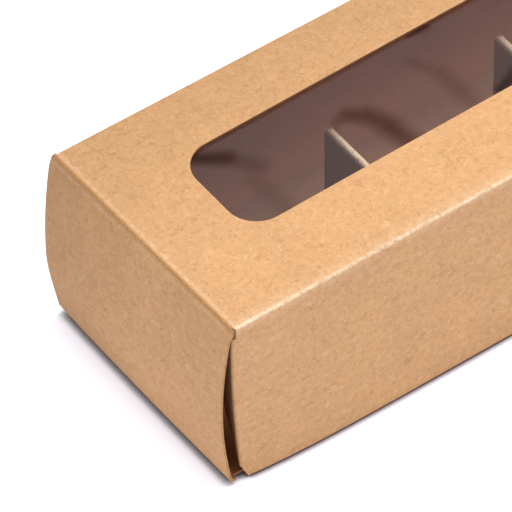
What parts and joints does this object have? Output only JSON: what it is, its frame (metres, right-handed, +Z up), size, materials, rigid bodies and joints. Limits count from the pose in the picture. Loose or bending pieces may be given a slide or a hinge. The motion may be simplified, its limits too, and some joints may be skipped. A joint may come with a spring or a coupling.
{
  "type": "window carton",
  "caption": "Long kraft-board carton with a rounded film window in its top, tuck-in end closures with dust flaps, and a folded divider insert.",
  "frame": {"origin": "middle of the base, on the table", "axes": "+X along the carton towards the far closure, +Y from the front long wall to the back long wall, +Z up through the window"},
  "size_m": [0.196, 0.055, 0.043],
  "materials": {
    "kraft_board": "uncoated",
    "kraft_flaps": "uncoated",
    "insert_board": "uncoated",
    "clear_film": "clear glossy film"
  },
  "bodies": {
    "carton": {"bottom_panel": "kraft_board", "front_wall": "kraft_board", "back_wall": "kraft_board", "top_panel": "kraft_board", "glue_flap": "kraft_board", "window_film": "clear_film"},
    "near_end_panel": {"near_end_panel": "kraft_flaps"},
    "near_tuck_tongue": {"near_tuck_tongue": "kraft_flaps"},
    "near_front_dust_flap": {"near_front_dust_flap": "kraft_flaps"},
    "near_back_dust_flap": {"near_back_dust_flap": "kraft_flaps"},
    "far_end_panel": {"far_end_panel": "kraft_flaps"},
    "far_tuck_tongue": {"far_tuck_tongue": "kraft_flaps"},
    "far_front_dust_flap": {"far_front_dust_flap": "kraft_flaps"},
    "far_back_dust_flap": {"far_back_dust_flap": "kraft_flaps"},
    "divider_insert": {"insert_base_1": "insert_board", "insert_base_2": "insert_board", "insert_base_3": "insert_board", "insert_base_4": "insert_board", "divider_1": "insert_board", "divider_2": "insert_board", "divider_3": "insert_board"}
  },
  "joints": [
    {"name": "near_end_panel_hinge", "type": "hinge", "parent": "carton", "child": "near_end_panel", "pos_m": [-0.095, 0, 0.043], "axis": [0, 1, 0], "range_deg": [0, 160]},
    {"name": "near_tongue_fold", "type": "hinge", "parent": "near_end_panel", "child": "near_tuck_tongue", "pos_m": [-0.09477, 0, 0.00165], "axis": [0, -1, 0], "range_deg": [0, 80]},
    {"name": "near_front_dust_flap_crease", "type": "hinge", "parent": "carton", "child": "near_front_dust_flap", "pos_m": [-0.0921, -0.0267, 0], "axis": [0.0418, 0, -0.9991], "range_deg": [0, 55]},
    {"name": "near_back_dust_flap_crease", "type": "hinge", "parent": "carton", "child": "near_back_dust_flap", "pos_m": [-0.0921, 0.0267, 0], "axis": [-0.0418, 0, 0.9991], "range_deg": [0, 55]},
    {"name": "far_end_panel_hinge", "type": "hinge", "parent": "carton", "child": "far_end_panel", "pos_m": [0.095, 0, 0.043], "axis": [0, -1, 0], "range_deg": [0, 160]},
    {"name": "far_tongue_fold", "type": "hinge", "parent": "far_end_panel", "child": "far_tuck_tongue", "pos_m": [0.09477, 0, 0.00165], "axis": [0, 1, 0], "range_deg": [0, 80]},
    {"name": "far_front_dust_flap_crease", "type": "hinge", "parent": "carton", "child": "far_front_dust_flap", "pos_m": [0.0921, -0.0267, 0], "axis": [0.0418, 0, 0.9991], "range_deg": [0, 55]},
    {"name": "far_back_dust_flap_crease", "type": "hinge", "parent": "carton", "child": "far_back_dust_flap", "pos_m": [0.0921, 0.0267, 0], "axis": [-0.0418, 0, -0.9991], "range_deg": [0, 55]},
    {"name": "insert_slide", "type": "slide", "parent": "carton", "child": "divider_insert", "axis": [1, 0, 0], "range_m": [-0.0005, 0.0005]}
  ],
  "couplings": [
    {"joint": "near_tongue_fold", "follows": "near_end_panel_hinge", "ratio": 0.5},
    {"joint": "far_tongue_fold", "follows": "far_end_panel_hinge", "ratio": 0.5}
  ]
}
